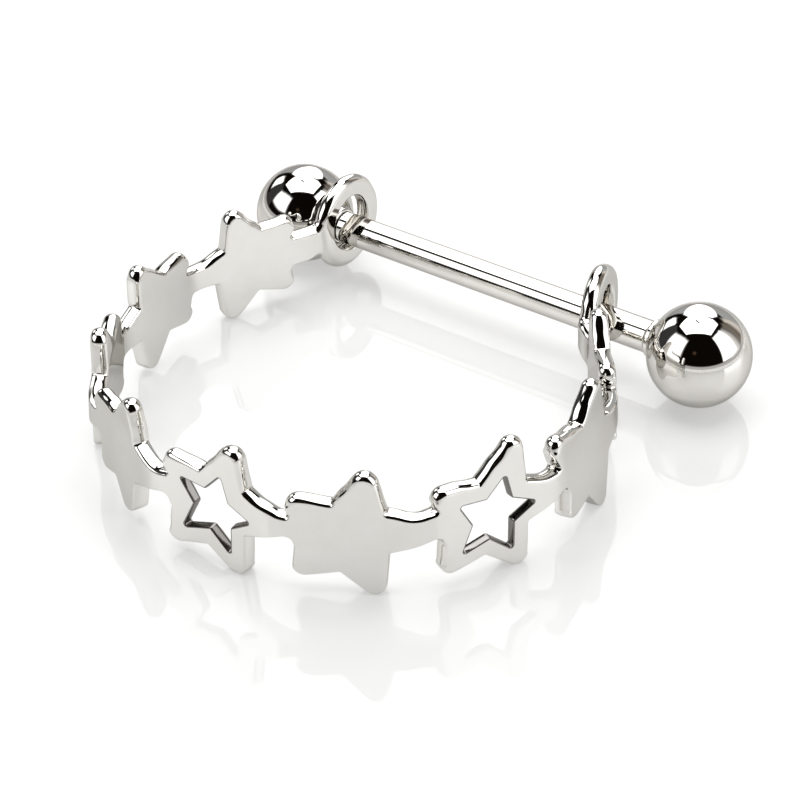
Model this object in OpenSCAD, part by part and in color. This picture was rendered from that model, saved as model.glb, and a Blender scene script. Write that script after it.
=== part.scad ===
// Straight barbell with a hoop of linked stars hung on it by two eyelets.
// Millimetres. The part lies on the plane z = 0: X runs along the bar, +Z is up and
// the hoop reaches out from the bar towards -Y.

/* [Barbell] */
// Diameter of the bar
bar_d = 1.6; // [1.2:0.1:1.8]
// Length of the bar between the two balls
bar_len = 19; // [18:0.5:20]
// Diameter of the balls
ball_d = 5; // [4.8:0.1:5.2]
// Diameter of the collar on each ball
collar_d = 1.9; // [1.8:0.05:2]

/* [Stars] */
// Centre of a star to the end of a rounded point
star_r = 3.15; // [3:0.05:3.3]
// Centre of a star to the bottom of a notch
notch_r = 1.92; // [1.8:0.02:2]
// How much further the upper point reaches on the tall stars
tall_more = 0.4; // [0:0.05:0.5]
// Radius of the rounded points
point_round = 0.5; // [0.3:0.05:0.6]
// Turn of every star in the plane of the band, in degrees
star_turn = 2.5; // [0:0.5:5]
// Centre of a star to the points of the star-shaped opening
hole_r = 1.98; // [1.7:0.02:2.1]
// Thickness of the band
band_t = 0.8; // [0.7:0.05:0.9]

/* [Eyelets] */
// Outer diameter of an eyelet
eye_d = 4.7; // [4.6:0.05:4.8]
// Diameter of the hole in an eyelet
eye_hole_d = 2.8; // [2.7:0.05:2.9]

/* [Hidden] */
$fn = 96;

// The bar lies on its two balls. The whole part is centred on the origin in plan.
bar_y = 10.25;
bar_z = ball_d / 2;
bar_half = bar_len / 2;
ball_x = bar_half + ball_d / 2;

// Screwed ends of the bar
shoulder_x = bar_half - 0.15;
spigot_r = 0.6;
tap_r = 0.65;
spigot_end = ball_x + 0.3;
tap_end = ball_x + 0.6;

// The band is a row of flat plates, one per star, with a bend in each link. PIERCED names the
// stars with an opening, TALL the stars with a longer upper point, and BEND gives the eight
// bends, all from the left eyelet round.
PIERCED = [4, 6];
TALL = [4, 6];
BEND = [31, 26, 34, 23, 28, 37, 34, 31];
FIRST = -112.5;
FIRST_X = -10.85;
FIRST_Y = bar_y - 6;
before = 2.7;
after = 2.25;
bend_len = 1.4;
lap = 0.05;

// A star's lowest point touches the floor, and the eyelets lie a little below its middle.
low_turn = 288 + star_turn;
mid_z = point_round - (star_r - point_round) * sin(low_turn);
eye_z = mid_z - 0.1;

// Heights above the stars' middle of a link's falling top edge and rising lower edge, at its
// two ends, and the radius of the hollow where the lower edge runs into the next star
link_top = 1.15;
top_end = 0.92;
link_low = -0.75;
link_end = -0.12;
hollow_r = 0.42;
link_from = 1.6;

// Eyelet planes and centres: x along the bar, turn in plan
LEFT_EYE = [-9.28, -87];
RIGHT_EYE = [6.45, 113.5];

function along(a) = [cos(a), sin(a)];
function inward(a) = [-sin(a), cos(a)];
function turn(i) = i == 0 ? FIRST : turn(i - 1) + BEND[i - 1];
function bend_r(i) = bend_len * 180 / (PI * BEND[i]);
function step(i) = after * along(turn(i)) + before * along(turn(i + 1))
    + bend_r(i) * (inward(turn(i)) - inward(turn(i + 1)));
function spot(i) = i == 0 ? [FIRST_X, FIRST_Y] : spot(i - 1) + step(i - 1);

// Sharp corner radius whose rounding of radius r ends at distance tip from the centre:
// solved by halving, because the corner's angle changes with it.
function tip_angle(v) = atan2(notch_r * sin(36), v - notch_r * cos(36));
function sharp(tip, lo, hi, n) = n == 0 ? (lo + hi) / 2 :
    let (v = (lo + hi) / 2, end = v - point_round * (1 / sin(tip_angle(v)) - 1))
    end > tip ? sharp(tip, lo, v, n - 1) : sharp(tip, v, hi, n - 1);
function tip_v(tip) = sharp(tip, tip, tip + 2, 30);
// Distance from the sharp corner, along a flank, to where the rounding starts
function flank(a) = point_round / tan(a);
// Reach of point k of star i: point 1 is the upper one
function tip_r(i, k) = star_r + (k == 1 && len(search(i, TALL)) > 0 ? tall_more : 0);

function polar(r, a) = [r * cos(a), r * sin(a)];

// Edges of a link at the distance s along the band from the middle of the star before it
function top_at(s) = link_top + (top_end - link_top) * (s - link_from)
    / (after + bend_len - link_from);
function low_at(s) = link_low + (link_end - link_low) * (s - link_from)
    / (after + bend_len - link_from);

// Star outline: flanks cut square across each point, and a disc in each point. The point
// that would run along the band is the link itself, so it is left out.
module star_outline(i) {
    rotate(star_turn) {
        polygon([polar(notch_r, -36), for (k = [1:4]) let (v = tip_v(tip_r(i, k)),
            a = tip_angle(v)) each [
            polar(notch_r, 72 * k - 36),
            polar(v, 72 * k) + polar(flank(a), 72 * k + 180 + a),
            polar(v, 72 * k) + polar(flank(a), 72 * k + 180 - a)]]);
        for (k = [1:4]) rotate(72 * k) translate([tip_r(i, k) - point_round, 0])
            circle(point_round);
    }
}

module star_opening() {
    rotate(star_turn) polygon([for (k = [0:9])
        polar(k % 2 == 0 ? hole_r : hole_r * 0.525, 36 * k)]);
}

// Runs of the link that lie in the plane of a star's own plate
module link_out() {
    polygon([[1, link_low], [link_from, link_low], [after, low_at(after)],
        [after + lap, low_at(after)], [after + lap, top_at(after)],
        [after, top_at(after)], [link_from, link_top], [1, link_top]]);
}

module link_in() {
    side = -2.8 + hollow_r;
    polygon([[-before - lap, link_end], [-1.5, link_end], [-1.5, top_end],
        [-before - lap, top_end]]);
    difference() {
        polygon([[-2.7, link_end], [-1.5, link_end], [-1.5, -1.4], [side - 0.12, -1.4],
            [side, link_end - hollow_r], [-2.7, link_end - hollow_r]]);
        translate([-2.8, link_end - hollow_r]) circle(hollow_r);
    }
}

// Stands a flat outline up as a plate that faces out of the hoop
module plate(p, a) {
    translate([p[0], p[1], mid_z]) rotate([0, 0, a]) rotate([90, 0, 0])
        linear_extrude(height = band_t, center = true) children();
}

module star(i) {
    plate(spot(i), turn(i)) difference() {
        union() {
            star_outline(i);
            if (i < 8) link_out();
            if (i > 0) link_in();
        }
        if (len(search(i, PIERCED)) > 0) star_opening();
    }
}

// Bend in the link after star i: a ring sector with the link's two edges
module bend(i) {
    r = bend_r(i);
    p = spot(i) + after * along(turn(i));
    z0 = low_at(after);
    z1 = top_at(after);
    translate([p[0], p[1], mid_z]) rotate([0, 0, turn(i)]) intersection() {
        translate([0, r, 0]) rotate([0, 0, -90]) rotate_extrude(angle = BEND[i])
            translate([r - band_t / 2, -1]) square([band_t, link_top + 1]);
        translate([0, band_t * 3, 0]) rotate([90, 0, 0]) linear_extrude(height = band_t * 4)
            polygon([[-0.5, z0 - 0.5 * (link_end - z0) / bend_len], [bend_len, link_end],
                [bend_len + 0.5, link_end], [bend_len + 0.5, top_end], [bend_len, top_end],
                [-0.5, z1 + 0.5 * (z1 - top_end) / bend_len]]);
    }
}

// Neck from an end star to its eyelet, in the star's plane
module neck(i, from, to, lo, hi) {
    plate(spot(i), turn(i)) polygon([[from, lo], [to, lo], [to, hi], [from, hi]]);
}

module eyelet(e, cut) {
    translate([e[0], bar_y, eye_z]) rotate([0, 0, e[1]]) rotate([90, 0, 0])
        if (cut) cylinder(d = eye_hole_d, h = 3, center = true);
        else cylinder(d = eye_d, h = band_t, center = true);
}

module star_hoop() {
    color([0.84, 0.83, 0.81]) difference() {
        union() {
            for (i = [0:8]) star(i);
            for (i = [0:7]) bend(i);
            neck(0, -4.1, -1.5, -0.95, 0.65);
            neck(8, 1, 4.1, -0.75, 0.8);
            eyelet(LEFT_EYE, false);
            eyelet(RIGHT_EYE, false);
        }
        eyelet(LEFT_EYE, true);
        eyelet(RIGHT_EYE, true);
    }
}

// Bar with a thinner screwed spigot at each end
module bar() {
    color([0.8, 0.79, 0.77]) translate([0, bar_y, bar_z]) rotate([0, 90, 0]) {
        cylinder(d = bar_d, h = 2 * shoulder_x, center = true);
        cylinder(r = spigot_r, h = 2 * spigot_end, center = true);
    }
}

// Ball with a short collar and a blind tapped hole, its open end towards -X
module ball() {
    difference() {
        union() {
            translate([ball_x, 0, 0]) sphere(d = ball_d);
            translate([shoulder_x + 0.05, 0, 0]) rotate([0, 90, 0])
                cylinder(d = collar_d, h = 1);
        }
        translate([shoulder_x - 1, 0, 0]) rotate([0, 90, 0])
            cylinder(r = tap_r, h = tap_end - shoulder_x + 1);
    }
}

module right_ball() {
    color([0.82, 0.81, 0.79]) translate([0, bar_y, bar_z]) ball();
}

module left_ball() {
    color([0.82, 0.81, 0.79]) translate([0, bar_y, bar_z]) rotate([0, 0, 180]) ball();
}

star_hoop();
bar();
left_ball();
right_ball();
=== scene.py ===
import math

import bpy
import numpy as np
from mathutils import Matrix, Vector
from mathutils.geometry import delaunay_2d_cdt


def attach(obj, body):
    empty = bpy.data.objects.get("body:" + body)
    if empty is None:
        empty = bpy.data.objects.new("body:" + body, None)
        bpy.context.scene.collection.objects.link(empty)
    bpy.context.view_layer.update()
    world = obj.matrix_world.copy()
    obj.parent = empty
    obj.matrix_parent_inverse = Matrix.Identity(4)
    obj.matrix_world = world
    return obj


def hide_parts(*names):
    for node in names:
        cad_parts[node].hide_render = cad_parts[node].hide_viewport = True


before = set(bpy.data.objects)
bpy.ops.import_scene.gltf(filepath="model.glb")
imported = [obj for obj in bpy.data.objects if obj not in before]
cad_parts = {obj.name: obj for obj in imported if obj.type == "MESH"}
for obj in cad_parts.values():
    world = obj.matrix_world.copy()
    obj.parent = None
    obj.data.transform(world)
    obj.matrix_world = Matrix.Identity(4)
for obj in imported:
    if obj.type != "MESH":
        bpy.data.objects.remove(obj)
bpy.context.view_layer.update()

# ---------------------------------------------------------------------------------------
# Star hoop. Nine stars and the short links between them are cut from one strip of steel,
# bent into an open hoop and tumble-polished, so the rims are rounded and mirror bright.
# Each end of the strip is a flat eyelet that hangs loosely on the bar.
# ---------------------------------------------------------------------------------------

# Every star's middle is PITCH from the last along the unrolled strip. A star stays flat from
# FLAT_BEFORE to FLAT_AFTER and the strip turns in between. Millimetres until laid in place.
PITCH = 6.35
FLAT_BEFORE = 2.7
FLAT_AFTER = 2.25
STAR_HEADINGS = np.array([-112.5, -81.5, -55.5, -21.5, 1.5, 29.5, 66.5, 100.5, 131.5])
FIRST_STAR = (-10.85, 4.25)
STRIP_MIDDLE = 2.982
STRIP_THICK = 0.8
LEFT_RING = (-6.325, -0.1)
RIGHT_RING = (8 * PITCH + 5.642, -0.1)
FLARED = ((2, 0.27), (3, 0.30), (7, 0.30))
RING_OUTER = 2.4
RING_HOLE = 1.4
PIERCED_STARS = (4, 6)
STAR_TURN = 2.5

# Rounding radius of the rims by place. An edge that faces down keeps ROUND_DOWN of it, and its
# crown grows from CROWN_DOWN to CROWN_TOP degrees as the edge faces up.
ROUND_LINK = 0.16
ROUND_TIP = 0.3
ROUND_RING = 0.36
ROUND_OPENING = 0.05
ROUND_HOLE = 0.14
ROUND_DOWN = 0.4
CROWN_DOWN = 6
CROWN_TOP = 35
CROWN_OPENING = 10.0
CROWN_HOLE = 14.0

# The necks turn at these places, before the first star's middle and past the last one's. The
# right one first leans in to NECK_LEAN, and the eyelets stand at RING_HEADINGS.
LEFT_NECK = [-4.614, -4.116]
RIGHT_NECK = [1.8, 2.3, 3.0, 3.6]
NECK_LEAN = 146.0
RING_HEADINGS = (-87.0, 109.0)

# Heading of the strip along its length: flat stretches, and turns eased over EASE at each end.
EASE = 0.35
strip_s = np.arange(-9.5, RIGHT_RING[0] + 3.5, 0.01)
star_s = PITCH * np.arange(9)
turn_s = np.concatenate([LEFT_NECK,
                         np.stack([star_s[:-1] + FLAT_AFTER,
                                   star_s[1:] - FLAT_BEFORE], 1).ravel(),
                         star_s[-1] + RIGHT_NECK])
turn_h = np.concatenate([RING_HEADINGS[:1], np.repeat(STAR_HEADINGS, 2),
                         [NECK_LEAN, NECK_LEAN], RING_HEADINGS[1:]])
sharp_h = np.interp(strip_s, turn_s, turn_h)
soft = np.hanning(int(EASE / 0.01) * 2 + 1)
strip_h = np.radians(np.convolve(np.pad(sharp_h, len(soft) // 2, mode="edge"),
                                 soft / soft.sum(), mode="valid"))
strip_x = np.cumsum(np.cos(strip_h)) * 0.01
strip_y = np.cumsum(np.sin(strip_h)) * 0.01
strip_x += FIRST_STAR[0] - np.interp(0.0, strip_s, strip_x)
strip_y += FIRST_STAR[1] - np.interp(0.0, strip_s, strip_y)


def lay_on_hoop(s, v, w):
    """Carries points of the flat strip onto the hoop, in metres. The point at s along the
    strip, v above its middle and w outside its middle layer is the bent centreline's point
    at s, moved by w along the outward normal (sin h, -cos h) of its heading h, and by v up.
    FLARED stars bulge out by up to their flare, as a squared cosine over the star, below."""
    for star, flare in FLARED:
        bell = np.cos(np.clip((s / PITCH - star) * 1.2, -1, 1) * np.pi / 2) ** 2
        w = w + flare * bell * np.clip(0.5 - v / 3, 0, 1.5)
    h = np.interp(s, strip_s, strip_h)
    x = np.interp(s, strip_s, strip_x) + w * np.sin(h)
    y = np.interp(s, strip_s, strip_y) - w * np.cos(h)
    return np.stack([x, y, STRIP_MIDDLE + v], 1) * 0.001


def corner_arcs(corners):
    """Arcs that round a run of corners (s, v, radius). Between two straight runs that turn by
    the angle t, the arc of radius r starts r tan(t/2) before the corner, and its centre lies
    r to the side it turns to. A row is the centre, the radius (negative where the metal's
    edge is hollow) and the first and last angle of the edge's outward normal. The first and
    last corner only give direction."""
    p, r = corners[:, :2], corners[1:-1, 2]
    run = np.diff(p, axis=0)
    run /= np.linalg.norm(run, axis=1)[:, None]
    heading = np.arctan2(run[:, 1], run[:, 0])
    turn = (np.diff(heading) + np.pi) % (2 * np.pi) - np.pi
    side = np.sign(turn)
    start = p[1:-1] - run[:-1] * (r * np.tan(np.abs(turn) / 2))[:, None]
    left = np.stack([-run[:-1, 1], run[:-1, 0]], 1)
    centre = start + left * (side * r)[:, None]
    first = heading[:-1] - np.pi / 2
    return np.column_stack([centre, side * r, first, first + turn])


def ring_arcs(centre, first, second, turned):
    """Arcs of an eyelet's outer edge: a hollow fillet from the neck's first edge, first away
    from the ring's middle, round the ring, and a hollow fillet to its second edge. A fillet's
    centre is a fillet beyond both the edge and the ring. turned puts the neck on the right."""
    f = 0.35
    reach = RING_OUTER + f
    c1 = np.array([-math.sqrt(reach ** 2 - (first + f) ** 2), -first - f])
    c2 = np.array([-math.sqrt(reach ** 2 - (second + f) ** 2), second + f])
    a1 = math.atan2(c1[1], c1[0])
    a2 = math.atan2(c2[1], c2[0])
    rows = np.array([[*c1, -f, -np.pi / 2, a1],
                     [0, 0, RING_OUTER, a1, a2],
                     [*c2, -f, a2, np.pi / 2]])
    if turned:
        rows[:, :2] *= -1
        rows[:, 3:] += np.pi
    rows[:, :2] += centre
    return rows


def walk_edge(rows, step=0.12):
    """Points and outward normals along a closed edge. Each arc is its centre plus its radius
    times the normal as the normal's angle runs from first to last, and the straight runs
    between arcs are cut into equal parts no longer than step."""
    c, r, a0, a1 = rows[:, :2], rows[:, 2], rows[:, 3], rows[:, 4]
    sweep = np.abs(a1 - a0)
    n = np.ceil(np.maximum(sweep / 0.14, sweep * np.abs(r) / 0.07)).astype(int) + 2
    k = np.repeat(np.arange(len(rows)), n)
    f = (np.arange(n.sum()) - np.repeat(np.cumsum(n) - n, n)) / (n[k] - 1)
    a = a0[k] + f * (a1 - a0)[k]
    normal = np.stack([np.cos(a), np.sin(a)], 1)
    p = c[k] + r[k, None] * normal
    gap = np.linalg.norm(np.roll(p, -1, 0) - p, axis=1)
    p, normal = p[gap > 1e-4], normal[gap > 1e-4]
    on, turn_to = np.roll(p, -1, 0), np.roll(normal, -1, 0)
    m = np.maximum(np.ceil(np.linalg.norm(on - p, axis=1) / step).astype(int), 1)
    k = np.repeat(np.arange(len(p)), m)
    f = ((np.arange(m.sum()) - np.repeat(np.cumsum(m) - m, m)) / m[k])[:, None]
    p = p[k] + f * (on - p)[k]
    normal = normal[k] + f * (turn_to - normal)[k]
    return p, normal / np.linalg.norm(normal, axis=1)[:, None]


def rim_section(rounding, crown, rest):
    """Section of a rim for each point of an edge, as grids of distance in from the edge and
    height on the outward side. The rim is crowned: an arc that leans crown degrees each way,
    between quarter circles of the rounding radius, and a last step of rest onto the face."""
    r = np.asarray(rounding, float).reshape(-1, 1)
    lean = np.radians(crown).reshape(-1, 1)
    half = STRIP_THICK / 2 - r * (1 - np.sin(lean))
    a = lean + (np.pi / 2 - lean) * np.linspace(1, 0, 6)
    c = lean * np.linspace(1, -1, 8)[1:-1]
    belly = half / np.sin(lean)
    inset = belly * (1 - np.cos(lean)) + r * (np.cos(lean) - np.cos(a))
    up = half + r * (np.sin(a) - np.sin(lean))
    inset = np.hstack([inset[:, :1] + rest, inset, belly * (1 - np.cos(c)), inset[:, ::-1],
                       inset[:, :1] + rest])
    up = np.hstack([up[:, :1], up, belly * np.sin(c), -up[:, ::-1], -up[:, :1]])
    return inset, up


def rim_shape(p, normal):
    """Rounding radius and crown that tumbling has left on the strip's outer rim at the edge
    points p: the radius is ROUND_LINK, ROUND_TIP at the ends of the star points and ROUND_RING
    round the eyelets. Edges that face down are sharper and flatter."""
    away = p[:, 0] - PITCH * np.clip(np.round(p[:, 0] / PITCH), 0, 8)
    tip = (np.clip((np.hypot(away, p[:, 1]) - 2.3) / 0.8, 0, 1)
           * np.clip((np.abs(p[:, 1]) - 1.2) / 0.5, 0, 1))
    ring = np.minimum(*(np.hypot(*(p - c).T) for c in (LEFT_RING, RIGHT_RING)))
    ring = np.clip((3.2 - ring) / 0.8, 0, 1)
    top = np.maximum(np.clip((normal[:, 1] + 0.3) / 0.7, 0, 1), ring)
    tip, ring, top = (k * k * (3 - 2 * k) for k in (tip, ring, top))
    radius = ROUND_LINK + (ROUND_TIP - ROUND_LINK) * tip
    radius += (ROUND_RING - radius) * ring
    return (radius * (ROUND_DOWN + (1 - ROUND_DOWN) * top),
            CROWN_DOWN + (CROWN_TOP - CROWN_DOWN) * top)


# Edge of one star, going round it with the metal on the left: lower edge from the link that
# comes in to the link that goes out, and upper edge back. s, v, radius of the corner.
even_star = np.array([[-2.38, 0.03, 0.42], [-2.68, -2.28, 0.5], [-0.513, -1.85, 0.22],
                      [1.31, -3.503, 0.5], [1.62, -0.75, 0.12],
                      [1.53, 1.17, 0.16], [1.0, 3.604, 0.5], [-0.672, 1.798, 0.12],
                      [-3.119, 2.064, 0.5], [-2.45, 0.92, 0.16]])
stars = even_star + star_s[:, None, None] * np.array([1, 0, 0])
# The stars were cut by hand, so no two are quite alike: star, corner, and how far the corner
# lies from its even place along the strip and upwards.
hand_cut = np.array([
    (0, 0, 0.07, -0.98), (0, 1, 0.08, -0.12), (0, 2, 0.06, 0.13), (0, 3, 0.09, 0.0),
    (0, 4, 0.03, 0.07), (0, 5, -0.23, -0.19), (0, 6, -0.15, -0.15), (0, 7, -0.18, -0.12),
    (0, 8, 0.0, -0.17), (0, 9, 0.12, -0.27),
    (1, 0, -0.15, -0.63), (1, 1, -0.24, 0.18), (1, 2, -0.17, 0.35), (1, 3, -0.15, 0.23),
    (1, 4, 0.0, -0.03), (1, 5, -0.03, -0.20), (1, 6, 0.38, -0.33), (1, 7, -0.13, -0.10),
    (1, 8, -0.08, -0.08), (1, 9, -0.05, -0.20),
    (2, 0, -0.10, -0.70), (2, 9, -0.05, -0.17),
    (3, 0, 0.35, 0.0), (3, 1, 0.65, 0.50), (3, 2, 0.12, 0.45), (3, 3, -0.15, 0.22),
    (3, 4, -0.15, -0.05),
    (4, 1, -0.17, -0.47), (4, 2, 0.0, -0.20), (4, 3, 0.12, 0.0), (4, 5, 0.22, 0.36),
    (4, 6, 0.42, 0.50), (4, 7, 0.0, 0.09), (4, 8, -0.10, 0.10),
    (5, 5, 0.05, 0.10), (5, 6, 0.0, 0.17), (5, 7, -0.08, -0.10), (5, 8, -0.05, -0.10),
    (5, 9, -0.06, -0.09),
    (6, 1, 0.0, -0.10), (6, 3, 0.27, 0.0), (6, 4, 0.02, -0.12), (6, 5, 0.09, 0.12),
    (6, 6, 0.42, 0.58), (6, 7, 0.0, 0.10), (6, 8, -0.08, 0.23), (6, 9, -0.17, 0.25),
    (7, 2, -0.30, 0.10), (7, 3, -0.75, 0.0), (7, 4, -0.07, -0.10), (7, 6, 0.20, 0.0),
    (7, 7, -0.15, 0.12), (7, 8, -0.63, 0.58), (7, 9, -0.45, 0.0),
    (8, 5, -0.01, -0.37)])
stars[hand_cut[:, 0].astype(int), hand_cut[:, 1].astype(int), :2] += hand_cut[:, 2:]
stars[0, 0, 2] = 0.16
lower = stars[:, :5].reshape(-1, 3)
# The upper edge of each link sags below its middle by this much, at a lowest point this far
# along from the middle, one value for each link from the left.
link_sag = np.array([0.42, 0.42, 0.20, 0.28, 0.30, 0.15, 0.14, 0.30])
sag_along = np.array([0, 0, 0.1, 0.35, 0.45, 0.1, 0.2, 0])
ends = np.stack([stars[1:, 9, :2], stars[:-1, 5, :2]], 1)
half_link = (ends[:, 0, 0] - ends[:, 1, 0]) / 2
low_point = ends.mean(1) + np.stack([sag_along, -link_sag], 1)
sags = np.column_stack([low_point, 0.6 * (half_link - sag_along) ** 2 / link_sag])
upper = np.concatenate([stars[1:, 5:], sags[:, None]], 1)[::-1].reshape(-1, 3)
upper = np.vstack([upper, stars[0, 5:]])
lower_run = np.vstack([[-4.0, -0.95, 0], lower, [star_s[-1] + 3.3, -0.75, 0]])
upper_run = np.vstack([[star_s[-1] + 3.3, 0.8, 0], upper, [-4.0, 0.65, 0]])
outer_edge = walk_edge(np.vstack([
    ring_arcs(LEFT_RING, 0.75, 0.85, True), corner_arcs(lower_run),
    ring_arcs(RIGHT_RING, 0.65, 0.9, False), corner_arcs(upper_run)]))
# Crowning takes the rim's shoulders in, so edges that don't face down stand out a little, and
# hand filing has left slow ripples along the upper ones. The strip rests on z = 0.
p, normal = outer_edge
ripple = (0.022 * np.sin(4.0 * p[:, 0] + 1.5 * np.sin(0.7 * p[:, 0]))
          + 0.018 * np.sin(5.5 * p[:, 1] + 2.3 * p[:, 0]))
stand_out = (0.05 * np.clip(1 + normal[:, 1], 0, 1)
             + ripple * np.clip(normal[:, 1] * 1.6, 0, 1))
p = p + stand_out[:, None] * normal
p[:, 1] = np.maximum(p[:, 1], -STRIP_MIDDLE)
outer_edge = (p, normal)

# Star-shaped openings, and the holes of the eyelets, with the metal on the left again. The
# openings' points reach OPENING_POINT from their middle and the notches OPENING_NOTCH.
OPENING_POINT = 1.98
OPENING_NOTCH = 1.04
points = np.arange(11)[::-1]
ray = np.radians(36 * points + STAR_TURN)
reach = np.where(points % 2 == 0, OPENING_POINT, OPENING_NOTCH)
opening = np.stack([reach * np.cos(ray), reach * np.sin(ray),
                    np.where(points % 2 == 0, 0.07, 0.17)], 1)
# Points 2, 3 and 4 of an opening are its upper left, lower left and lower right one.
stretch = {4: [(2, -0.1, 0.0), (3, -0.27, -0.30), (4, 0.06, -0.16)],
           6: [(2, 0.0, 0.0), (3, -0.05, -0.13), (4, 0.12, -0.12)]}
openings = []
for i in PIERCED_STARS:
    cut = opening + [PITCH * i, 0, 0]
    for k, ds, dv in stretch[i]:
        cut[points == 2 * k, :2] += (ds, dv)
    openings.append(walk_edge(corner_arcs(np.vstack([cut, cut[1]])), 0.1))
holes = [walk_edge(np.array([[*c, -RING_HOLE, 0.0, -2 * np.pi]])) for c in
         (LEFT_RING, RIGHT_RING)]

# Rims: each edge's normal carries its section inwards, and the faces between are filled.
edges = [(outer_edge, rim_section(*rim_shape(*outer_edge), 0.05))]
edges += [(edge, rim_section(np.full(len(edge[0]), ROUND_OPENING), CROWN_OPENING, 0.02))
          for edge in openings]
edges += [(edge, rim_section(np.full(len(edge[0]), ROUND_HOLE), CROWN_HOLE, 0.05))
          for edge in holes]
verts, faces, loops, first = [], [], [], 0
for (p, normal), (inset, up) in edges:
    n, m = inset.shape
    flat = p[:, None] - normal[:, None] * inset[:, :, None]
    verts.append(np.column_stack([flat.reshape(-1, 2), up.ravel()]))
    i = np.arange(n)[:, None] * m + first
    j = np.arange(m - 1)
    a, b = i + j, np.roll(i, -1, 0) + j
    faces.append(np.stack([a, a + 1, b + 1, b], 2).reshape(-1, 4))
    front = np.arange(n) * m + first
    loops.append((front, front + m - 1))
    first += n * m
verts = np.vstack(verts)

# Filling points on a lattice, finer along the strip because that is the way it bends.
LATTICE_S = 0.14
LATTICE_V = 0.22
lattice_s, lattice_v = np.meshgrid(np.arange(-9, RIGHT_RING[0] + 3, LATTICE_S),
                                   np.arange(-3.1, 3.2, LATTICE_V))
lattice = np.stack([lattice_s.ravel(), lattice_v.ravel()], 1)


def inside(points, loop):
    """True where a point lies inside a closed loop: a line from it towards +s crosses the loop
    an odd number of times."""
    a, b = loop, np.roll(loop, -1, 0)
    y = points[:, 1:2]
    spans = (a[:, 1] > y) != (b[:, 1] > y)
    slope = (b[:, 0] - a[:, 0]) / np.where(a[:, 1] == b[:, 1], 1, b[:, 1] - a[:, 1])
    cross = a[:, 0] + (y - a[:, 1]) * slope
    return (spans & (cross > points[:, 0:1])).sum(1) % 2 == 1


def in_metal(points, clear):
    """True where a point lies in the strip, more than clear from the rims' inner edges."""
    keep = np.zeros(len(points), bool)
    for part in np.array_split(np.arange(len(points)), 12):
        q = points[part]
        ok = inside(q, verts[loops[0][0], :2])
        for front, _ in loops[1:]:
            ok &= ~inside(q, verts[front, :2])
        if clear:
            rim = np.vstack([verts[front, :2] for front, _ in loops])
            near = np.abs(rim[None] - q[:, None]).max(2).min(1)
            ok &= near > clear
        keep[part] = ok
    return keep


lattice = lattice[in_metal(lattice, 0.06)]
border = np.concatenate([front for front, _ in loops])
back_border = np.concatenate([back for _, back in loops])
flat = np.vstack([verts[border, :2], lattice])
starts = np.cumsum([0] + [len(front) for front, _ in loops])
ties = np.vstack([np.stack([np.arange(a, b), np.roll(np.arange(a, b), -1)], 1)
                  for a, b in zip(starts[:-1], starts[1:])])
made = delaunay_2d_cdt([Vector(q) for q in flat], ties.tolist(), [], 0, 1e-6)
tri_points = np.array([tuple(q) for q in made[0]])
triangles = np.array(made[2])
came_from = np.array([ids[0] for ids in made[3]])
triangles = triangles[in_metal(tri_points[triangles].mean(1), 0)]
order = came_from[triangles]
q = flat[order]
turned = np.cross(q[:, 1] - q[:, 0], q[:, 2] - q[:, 0]) < 0
order[turned] = order[turned][:, ::-1]
count = len(verts)
front_ids = np.concatenate([border, count + np.arange(len(lattice))])
back_ids = np.concatenate([back_border, count + len(lattice) + np.arange(len(lattice))])
half = np.full(len(lattice), STRIP_THICK / 2)
verts = np.vstack([verts, np.column_stack([lattice, half]),
                   np.column_stack([lattice, -half])])

# The pierced stars are dished behind, by DISH_DEPTH round the opening, easing out over
# DISH_WIDTH.
DISH_DEPTH = 0.35
DISH_WIDTH = 0.5
for i, (edge, _) in zip(PIERCED_STARS, openings):
    near = np.hypot(verts[:, 0] - PITCH * i, verts[:, 1]) < 2.9
    off = np.hypot(*(verts[near, None, :2] - edge[None]).T).min(0)
    ease = np.clip(1 - off / DISH_WIDTH, 0, 1)
    behind = np.clip(-verts[near, 2] / (STRIP_THICK / 2), 0, 1)
    verts[near, 2] += DISH_DEPTH * ease * ease * (3 - 2 * ease) * behind
placed = lay_on_hoop(*verts.T)
quads = np.vstack(faces)
fills = np.vstack([front_ids[order], back_ids[order][:, ::-1]])


def metal_piece(name, points, quads, triangles, material):
    """A smooth-shaded mesh object from arrays of points, four-cornered and three-cornered
    faces, at the origin."""
    mesh = bpy.data.meshes.new(name)
    mesh.vertices.add(len(points))
    mesh.vertices.foreach_set("co", points.ravel())
    corners = np.concatenate([quads.ravel(), triangles.ravel()]).astype(np.int32)
    sizes = np.concatenate([np.full(len(quads), 4), np.full(len(triangles), 3)])
    mesh.loops.add(len(corners))
    mesh.loops.foreach_set("vertex_index", corners)
    mesh.polygons.add(len(sizes))
    mesh.polygons.foreach_set("loop_start", (np.cumsum(sizes) - sizes).astype(np.int32))
    mesh.update(calc_edges=True)
    mesh.validate()
    mesh.shade_smooth()
    mesh.materials.append(material)
    piece = bpy.data.objects.new(name, mesh)
    bpy.context.scene.collection.objects.link(piece)
    return piece


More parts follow.
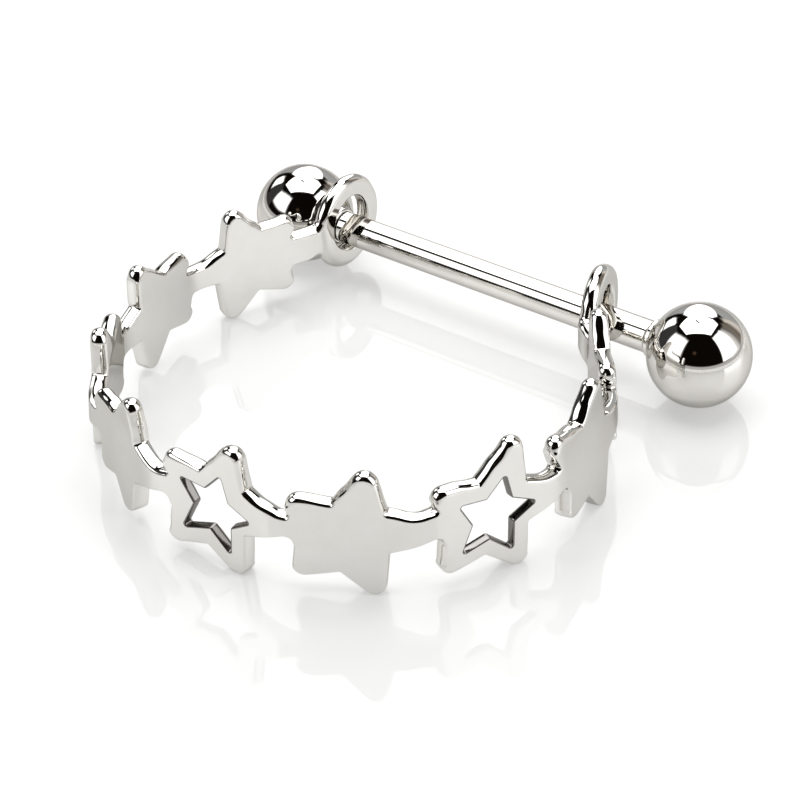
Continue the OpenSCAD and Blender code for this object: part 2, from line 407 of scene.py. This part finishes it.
def polish_group():
    """Marks that polishing leaves on steel, worked out from the place on the piece: slow
    waves left by the wheel, fine lines drawn out along one way, and clouds of faint haze.
    Height is waves and lines in metres, Roughness rises in the haze, and Colour is the steel's
    colour, a little warmer and darker where the haze sits."""
    group = bpy.data.node_groups.new("polishing_marks", "ShaderNodeTree")
    face = group.interface
    for name, kind, value in (("Steel", "NodeSocketColor", (0.62, 0.60, 0.57, 1)),
                              ("Haze colour", "NodeSocketColor", (0.58, 0.55, 0.51, 1)),
                              ("Gloss", "NodeSocketFloat", 0.03),
                              ("Haze", "NodeSocketFloat", 0.05),
                              ("Wave size", "NodeSocketFloat", 0.002),
                              ("Wave height", "NodeSocketFloat", 0.0),
                              ("Line height", "NodeSocketFloat", 0.0)):
        socket = face.new_socket(name, in_out="INPUT", socket_type=kind)
        socket.default_value = value
    for name, kind in (("Colour", "NodeSocketColor"), ("Roughness", "NodeSocketFloat"),
                       ("Height", "NodeSocketFloat")):
        face.new_socket(name, in_out="OUTPUT", socket_type=kind)
    node, link = group.nodes.new, group.links.new
    take, give = node("NodeGroupInput"), node("NodeGroupOutput")
    where = node("ShaderNodeTexCoord")
    size = node("ShaderNodeMath")
    size.operation = "DIVIDE"
    size.inputs[0].default_value = 1
    link(take.outputs["Wave size"], size.inputs[1])
    wave = node("ShaderNodeTexNoise")
    link(where.outputs["Object"], wave.inputs["Vector"])
    link(size.outputs[0], wave.inputs["Scale"])
    wave.inputs["Detail"].default_value = 1
    draw = node("ShaderNodeMapping")
    draw.inputs["Rotation"].default_value = (0.3, 0.2, 0.5)
    draw.inputs["Scale"].default_value = (1500, 22000, 9000)
    link(where.outputs["Object"], draw.inputs["Vector"])
    lines = node("ShaderNodeTexNoise")
    lines.inputs["Scale"].default_value = 1
    lines.inputs["Detail"].default_value = 3
    link(draw.outputs[0], lines.inputs["Vector"])
    cloud = node("ShaderNodeTexNoise")
    cloud.inputs["Scale"].default_value = 420
    cloud.inputs["Detail"].default_value = 5
    cloud.inputs["Roughness"].default_value = 0.6
    link(where.outputs["Object"], cloud.inputs["Vector"])
    haze = node("ShaderNodeMapRange")
    haze.inputs["From Min"].default_value = 0.42
    haze.inputs["From Max"].default_value = 0.72
    link(cloud.outputs["Fac"], haze.inputs["Value"])
    colour = node("ShaderNodeMix")
    colour.data_type = "RGBA"
    link(haze.outputs[0], colour.inputs[0])
    link(take.outputs["Steel"], colour.inputs[6])
    link(take.outputs["Haze colour"], colour.inputs[7])
    link(colour.outputs[2], give.inputs["Colour"])
    rough = node("ShaderNodeMath")
    rough.operation = "MULTIPLY_ADD"
    link(haze.outputs[0], rough.inputs[0])
    link(take.outputs["Haze"], rough.inputs[1])
    link(take.outputs["Gloss"], rough.inputs[2])
    link(rough.outputs[0], give.inputs["Roughness"])
    tall = node("ShaderNodeMath")
    tall.operation = "MULTIPLY"
    link(wave.outputs["Fac"], tall.inputs[0])
    link(take.outputs["Wave height"], tall.inputs[1])
    both = node("ShaderNodeMath")
    both.operation = "MULTIPLY_ADD"
    link(lines.outputs["Fac"], both.inputs[0])
    link(take.outputs["Line height"], both.inputs[1])
    link(tall.outputs[0], both.inputs[2])
    link(both.outputs[0], give.inputs["Height"])
    return group


polishing_marks = polish_group()


def polished_steel(name, **values):
    """Mirror-polished steel: a fully metallic surface whose colour, roughness and height come
    from the polishing marks with this piece's own values."""
    material = bpy.data.materials.new(name)
    material.use_nodes = True
    tree = material.node_tree
    metal = tree.nodes["Principled BSDF"]
    metal.inputs["Metallic"].default_value = 1
    metal.inputs["Specular Tint"].default_value = (0.60, 0.59, 0.575, 1)
    marks = tree.nodes.new("ShaderNodeGroup")
    marks.node_tree = polishing_marks
    for key, value in values.items():
        marks.inputs[key.replace("_", " ")].default_value = value
    bump = tree.nodes.new("ShaderNodeBump")
    bump.inputs["Distance"].default_value = 1
    tree.links.new(marks.outputs["Colour"], metal.inputs["Base Color"])
    tree.links.new(marks.outputs["Roughness"], metal.inputs["Roughness"])
    tree.links.new(marks.outputs["Height"], bump.inputs["Height"])
    tree.links.new(bump.outputs["Normal"], metal.inputs["Normal"])
    return material


hoop_steel = polished_steel("tumbled_hoop_steel", Steel=(0.76, 0.75, 0.722, 1),
                            Haze_colour=(0.73, 0.715, 0.68, 1), Gloss=0.035, Haze=0.03,
                            Wave_size=0.0021, Wave_height=3e-6, Line_height=1.5e-8)
hoop = metal_piece("star_band", placed, quads, fills, hoop_steel)
# The polishing wheel can't reach into the openings, so their walls stay duller; their darker
# steel colour is painted shade in the recesses.
wall_shade_steel = polished_steel("opening_wall_shade_steel", Steel=(0.22, 0.213, 0.205, 1),
                            Haze_colour=(0.16, 0.15, 0.14, 1), Gloss=0.08, Haze=0.1,
                            Wave_size=0.0008, Wave_height=4e-6, Line_height=3e-8)
hoop.data.materials.append(wall_shade_steel)
# The openings' rim faces take the second material, the dull steel darkened as painted shade.
is_wall = np.repeat([0] + [1] * len(openings) + [0, 0], [len(part) for part in faces])
is_wall = np.concatenate([is_wall, np.zeros(len(fills), int)]).astype(np.int32)
hoop.data.polygons.foreach_set("material_index", is_wall)
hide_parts("star_hoop")
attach(hoop, "hoop")

# ---------------------------------------------------------------------------------------
# Bar. A straight rod of surgical steel, turned and polished, with a thinner screw cut on
# each end for the balls. Its shoulders stop the balls.
# ---------------------------------------------------------------------------------------

BAR_LINE = (10.25, 2.5)
BAR_RADIUS = 0.8
SHOULDER = 9.35
SCREW_END = 12.3
SCREW_RADIUS = 0.6
SCREW_PITCH = 0.25
THREAD_DEPTH = 0.075
BAR_SIDES = 96


def turned_surface(along, radius, around):
    """A closed surface turned about the bar's line, in metres: the point at angle a and place
    k has x = along and lies radius from the line, at the angle a round it. along and radius
    may be grids whose second side is the angle, as on a screw. The ends close on the line."""
    a = np.arange(around) * 2 * np.pi / around
    x = np.broadcast_to(along.reshape(len(along), -1), (len(along), around))
    r = np.broadcast_to(radius.reshape(len(radius), -1), (len(radius), around))
    points = np.stack([x, BAR_LINE[0] + r * np.cos(a), BAR_LINE[1] + r * np.sin(a)], 2)
    ends = np.array([[x[0, 0], *BAR_LINE], [x[-1, 0], *BAR_LINE]])
    n = len(along)
    i, j = np.arange(n - 1)[:, None] * around, np.arange(around)
    on = np.roll(j, -1)
    quads = np.stack([i + j, i + on, i + around + on, i + around + j], 2).reshape(-1, 4)
    last = (n - 1) * around
    caps = np.vstack([np.stack([on, j, np.full(around, n * around)], 1),
                      np.stack([last + j, last + on, np.full(around, n * around + 1)], 1)])
    return np.vstack([points.reshape(-1, 3), ends]) * 0.001, quads, caps


# Right half of the bar from its middle to the tip of its screw, mirrored for the left half.
angle = np.arange(BAR_SIDES) * 2 * np.pi / BAR_SIDES
screw_x = np.arange(SHOULDER + 0.22, SCREW_END - 0.1, SCREW_PITCH / 12)[:, None]
tooth = np.abs(((screw_x / SCREW_PITCH - angle / (2 * np.pi)) % 1) * 2 - 1)
fade = np.clip(np.minimum(screw_x - SHOULDER - 0.2, SCREW_END - 0.1 - screw_x) / 0.15, 0, 1)
screw_r = SCREW_RADIUS - THREAD_DEPTH * (1 - fade * (1 - np.clip(tooth * 1.25 - 0.12, 0, 1)))
plain = [(x, BAR_RADIUS) for x in np.arange(0.12, SHOULDER - 0.2, 0.24)]
plain += [(SHOULDER - 0.1, BAR_RADIUS), (SHOULDER - 0.07, BAR_RADIUS),
          (SHOULDER - 0.06, BAR_RADIUS), (SHOULDER - 0.018, BAR_RADIUS - 0.018),
          (SHOULDER, BAR_RADIUS - 0.06), (SHOULDER, 0.6), (SHOULDER, 0.53),
          (SHOULDER + 0.01, 0.525), (SHOULDER + 0.12, 0.525)]
tip = [(SCREW_END - 0.09, 0.52), (SCREW_END - 0.01, 0.45), (SCREW_END, 0.43), (SCREW_END, 0.2)]
plain, tip = np.array(plain), np.array(tip)
half_x = np.repeat(np.concatenate([plain[:, :1], screw_x, tip[:, :1]]), BAR_SIDES, 1)
half_r = np.concatenate([np.repeat(plain[:, 1:], BAR_SIDES, 1), screw_r,
                         np.repeat(tip[:, 1:], BAR_SIDES, 1)])
bar_x = np.concatenate([-half_x[::-1], half_x])
bar_r = np.concatenate([half_r[::-1, ::-1], half_r])
bar_steel = polished_steel("turned_bar_steel", Steel=(0.75, 0.73, 0.70, 1),
                           Haze_colour=(0.71, 0.685, 0.65, 1), Gloss=0.03, Haze=0.04,
                           Wave_size=0.004, Wave_height=1e-6, Line_height=2e-8)
bar = metal_piece("bar_rod", *turned_surface(bar_x, bar_r, BAR_SIDES), bar_steel)
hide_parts("bar")
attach(bar, "bar")

# ---------------------------------------------------------------------------------------
# Balls. Each is turned from solid steel with a short flared collar, bored and tapped for
# the bar's screw, and polished to a mirror. They screw on until the collar meets the bar.
# ---------------------------------------------------------------------------------------

BALL_X = 12.0
BALL_RADIUS = 2.5
COLLAR_START = 9.4
COLLAR_RADIUS = 0.95
COLLAR_FILLET = 0.15
BORE_RADIUS = 0.65
BORE_END = 12.6
BALL_SIDES = 160

# Outline of the right ball with the metal on the left, from its far pole over the sphere, by
# a hollow fillet onto the collar, round its end and down the bore, and back along the axis.
fillet_r = COLLAR_RADIUS + COLLAR_FILLET
fillet_x = BALL_X - math.sqrt((BALL_RADIUS + COLLAR_FILLET) ** 2 - fillet_r ** 2)
touch = math.pi - math.asin(fillet_r / (BALL_RADIUS + COLLAR_FILLET))
collar = np.array([[fillet_x, COLLAR_RADIUS, 0], [COLLAR_START, COLLAR_RADIUS, 0.11],
                   [COLLAR_START, BORE_RADIUS, 0.05], [BORE_END, BORE_RADIUS, 0.1],
                   [BORE_END, 0, 0]])
ball_profile, _ = walk_edge(np.vstack([
    [BALL_X, 0, BALL_RADIUS, 0.0, touch],
    [fillet_x, fillet_r, -COLLAR_FILLET, touch, np.pi / 2], corner_arcs(collar),
    [BORE_END, 0, 0, np.pi, np.pi]]), 0.08)
ball_profile = ball_profile[ball_profile[:, 1] > 1e-6]
ball_steel = polished_steel("mirror_ball_steel", Steel=(0.76, 0.745, 0.715, 1),
                            Haze_colour=(0.73, 0.71, 0.68, 1), Gloss=0.02, Haze=0.03,
                            Wave_size=0.003, Wave_height=4e-7, Line_height=1e-8)
for side, name in ((-1, "left_ball"), (1, "right_ball")):
    along, radius = (ball_profile * [side, 1])[::-side].T
    shell = turned_surface(along, radius, BALL_SIDES)
    ball = metal_piece(name.replace("_ball", "_screw_ball"), *shell, ball_steel)
    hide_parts(name)
    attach(ball, name)

# ---------------------------------------------------------------------------------------
# Table and studio. A sheet of white gloss acrylic under the piece, and white softboxes above
# and round it with dark gaps between them, which is what polished steel shows.
# ---------------------------------------------------------------------------------------

SHEET_RADIUS = 1.9
DOME_RADIUS = 2.0

# The sheet is a disc, faintly lit from below: rings closer together near the middle, where
# the piece lies.
SHEET_RINGS, SHEET_SIDES = 24, 72
rings = SHEET_RADIUS * np.linspace(0.02, 1, SHEET_RINGS) ** 2
turns = np.arange(SHEET_SIDES) * 2 * np.pi / SHEET_SIDES
disc = np.stack([rings[:, None] * np.cos(turns), rings[:, None] * np.sin(turns),
                 np.zeros((SHEET_RINGS, SHEET_SIDES))], 2).reshape(-1, 3)
i, j = np.arange(SHEET_RINGS - 1)[:, None] * SHEET_SIDES, np.arange(SHEET_SIDES)
on = np.roll(j, -1)
cells = np.stack([i + j, i + SHEET_SIDES + j, i + SHEET_SIDES + on, i + on], 2)
middle = np.stack([np.full(SHEET_SIDES, len(disc)), j, on], 1)
acrylic = bpy.data.materials.new("white_gloss_acrylic")
acrylic.use_nodes = True
tree = acrylic.node_tree
skin = tree.nodes["Principled BSDF"]
skin.inputs["Base Color"].default_value = (0.40, 0.40, 0.398, 1)
skin.inputs["IOR"].default_value = 1.34
skin.inputs["Emission Color"].default_value = (1, 1, 0.995, 1)
skin.inputs["Emission Strength"].default_value = 0.41
where = tree.nodes.new("ShaderNodeTexCoord")
smear = tree.nodes.new("ShaderNodeTexNoise")
smear.inputs["Scale"].default_value = 60
smear.inputs["Detail"].default_value = 4
span = tree.nodes.new("ShaderNodeMapRange")
span.inputs["To Min"].default_value = 0.01
span.inputs["To Max"].default_value = 0.02
tree.links.new(where.outputs["Object"], smear.inputs["Vector"])
tree.links.new(smear.outputs["Fac"], span.inputs["Value"])
tree.links.new(span.outputs[0], skin.inputs["Roughness"])
table = metal_piece("acrylic_sheet", np.vstack([disc, [[0, 0, 0]]]), cells.reshape(-1, 4),
                    middle, acrylic)

# The softboxes and cards are one dome of light, drawn in directions seen from the piece.
# A direction is an azimuth, which runs from +Y towards +X, and an elevation, in degrees.
dome_az, dome_el = np.meshgrid(np.arange(-180, 181, 1.5), np.arange(0, 90.1, 1.25))


def patch(corners, soft, radiance, colour=(1, 1, 1), at=None):
    """Light of a convex panel with soft edges: its radiance times s squared, where s eases
    from 0 at the outline to 1 at soft inside it, by the distance to the nearest side."""
    x, y = at if at else (dome_az, dome_el)
    a = np.array(corners, float)
    b = np.roll(a, -1, 0)
    side = (b - a) / np.linalg.norm(b - a, axis=1)[:, None]
    inner = (side[:, 0, None, None] * (y - a[:, 1, None, None])
             - side[:, 1, None, None] * (x - a[:, 0, None, None])).min(0)
    s = np.clip(inner / soft, 0, 1)
    s = s * s * (3 - 2 * s)
    return (radiance * s * s)[..., None] * np.array(colour)


def spot(az, el, wide, radiance, colour):
    """A round patch that fades from its middle as a bell curve of the width wide."""
    off = ((dome_az - az) * np.cos(np.radians(dome_el))) ** 2 + (dome_el - el) ** 2
    return (radiance * np.exp(-off / wide ** 2))[..., None] * np.array(colour)


flat_r = 1 / np.tan(np.radians(np.maximum(dome_el, 20)))
ceiling = (flat_r * np.sin(np.radians(dome_az)), flat_r * np.cos(np.radians(dome_az)))
overhead = patch([(-0.33, -0.44), (0.49, 0.03), (0.33, 0.72), (0.05, 0.76), (-0.3, 0.61),
                  (-0.73, 0.41), (-0.85, -0.09)], 0.05, 3.8, at=ceiling)
clamp = patch([(-0.33, 0.22), (-0.12, 0.15), (-0.08, 0.24), (-0.30, 0.34), (-0.42, 0.36)],
              0.04, 1.0, at=ceiling)
overhead *= 1 - clamp
back = patch([(-61, 36), (-36, 5), (-30, 5), (1, 39), (0, 51), (-12, 57), (-30, 59),
              (-48, 57), (-61, 51)], 4, 2.8)
back_card = patch([(-68, -9), (11, -9), (9, 34), (-60, 34)], 5, 0.48, (0.97, 0.99, 1))
right = patch([(50, 5), (97, 5), (93, 61.5), (70, 61), (43, 56)], 4, 2.1)
right_edge = (patch([(22, -60), (97, -60), (97, 120), (22, 120)], 28, 1.0, (1, 0.97, 0.94))
              * patch([(15, 0), (97, 0), (93, 60), (70, 60), (20, 50)], 6, 0.92))
left = patch([(-173, 12), (-150, 14), (-118, 12), (-108, 47), (-130, 57), (-150, 61),
              (-173, 60)], 10, 2.6)
side_box = patch([(-91, 13), (-70, 13), (-64, 24), (-66, 33), (-82, 43), (-91, 41)], 6, 2.4)
side_grey = patch([(-119, -3), (-89, -3), (-89, 47), (-119, 50)], 3, 0.042)
beige = patch([(-2, -5), (27, -5), (25, 20), (20, 43), (-2, 43)], 11, 0.79, (1, 0.93, 0.86))
brown = patch([(12, -3), (40, -3), (36, 50), (14, 50)], 8, 0.20, (1, 0.86, 0.72))
far_floor = patch([(-200, -9), (200, -9), (200, 8), (-200, 8)], 3, 0.52, (1, 0.99, 0.97))
warm = spot(160, 35, 3, 0.10, (1, 0.6, 0.35))
glow = np.maximum.reduce([overhead, back, back_card, right, right_edge, left, side_box,
                          side_grey, beige, far_floor]) + brown + warm
glow += np.array([0.004, 0.003, 0.002])

a, e = np.radians(dome_az), np.radians(dome_el)
dome_points = DOME_RADIUS * np.stack([np.sin(a) * np.cos(e), np.cos(a) * np.cos(e),
                                      np.sin(e)], 2)
rows, cols = dome_az.shape
i, j = np.arange(rows - 1)[:, None] * cols, np.arange(cols - 1)
cells = np.stack([i + j, i + j + 1, i + cols + j + 1, i + cols + j], 2).reshape(-1, 4)
cells = cells[glow.reshape(-1, 3)[cells].max((1, 2)) > 0.01]
lamp_cloth = bpy.data.materials.new("softbox_cloth")
lamp_cloth.use_nodes = True
lamp_cloth.cycles.emission_sampling = "NONE"
tree = lamp_cloth.node_tree
tree.nodes.remove(tree.nodes["Principled BSDF"])
cloth = tree.nodes.new("ShaderNodeEmission")
drawn = tree.nodes.new("ShaderNodeAttribute")
drawn.attribute_name = "glow"
tree.links.new(drawn.outputs["Color"], cloth.inputs["Color"])
tree.links.new(cloth.outputs[0], tree.nodes["Material Output"].inputs["Surface"])
dome = metal_piece("softboxes", dome_points.reshape(-1, 3), cells,
                   np.zeros((0, 3), np.int32), lamp_cloth)
drawn = dome.data.attributes.new("glow", "FLOAT_COLOR", "POINT")
drawn.data.foreach_set("color", np.dstack([glow, np.ones(glow.shape[:2])]).ravel())
dome.visible_camera = False
dome.visible_shadow = False

# Beyond the sheet the camera sees white, and nothing else does.
world = bpy.data.worlds.new("studio")
bpy.context.scene.world = world
world.use_nodes = True
tree = world.node_tree
seen = tree.nodes["Background"]
seen.inputs["Color"].default_value = (1, 1, 1, 1)
dark = tree.nodes.new("ShaderNodeBackground")
dark.inputs["Color"].default_value = (0.004, 0.003, 0.002, 1)
path = tree.nodes.new("ShaderNodeLightPath")
pick = tree.nodes.new("ShaderNodeMixShader")
tree.links.new(path.outputs["Is Camera Ray"], pick.inputs[0])
tree.links.new(dark.outputs[0], pick.inputs[1])
tree.links.new(seen.outputs[0], pick.inputs[2])
tree.links.new(pick.outputs[0], tree.nodes["World Output"].inputs["Surface"])

# Camera at the photograph's place, turned by its heading, tilt and slight roll.
CAMERA_PLACE = (0.06788, -0.07974, 0.07034)
YAW, PITCH_DOWN, ROLL = 0.6891, 0.5854, -0.0466
forward = Vector((-math.sin(YAW) * math.cos(PITCH_DOWN), math.cos(YAW) * math.cos(PITCH_DOWN),
                  -math.sin(PITCH_DOWN)))
level = Vector((math.cos(YAW), math.sin(YAW), 0))
above = level.cross(forward)
right = level * math.cos(ROLL) + above * math.sin(ROLL)
up = above * math.cos(ROLL) - level * math.sin(ROLL)
lens = bpy.data.cameras.new("camera")
lens.sensor_width = 36
lens.lens = 120.17
lens.clip_start = 0.005
camera = bpy.data.objects.new("camera", lens)
turn = Matrix((right, up, -forward)).transposed().to_4x4()
camera.matrix_world = Matrix.Translation(CAMERA_PLACE) @ turn
bpy.context.scene.collection.objects.link(camera)
bpy.context.scene.camera = camera
bpy.context.scene.view_settings.view_transform = "Standard"
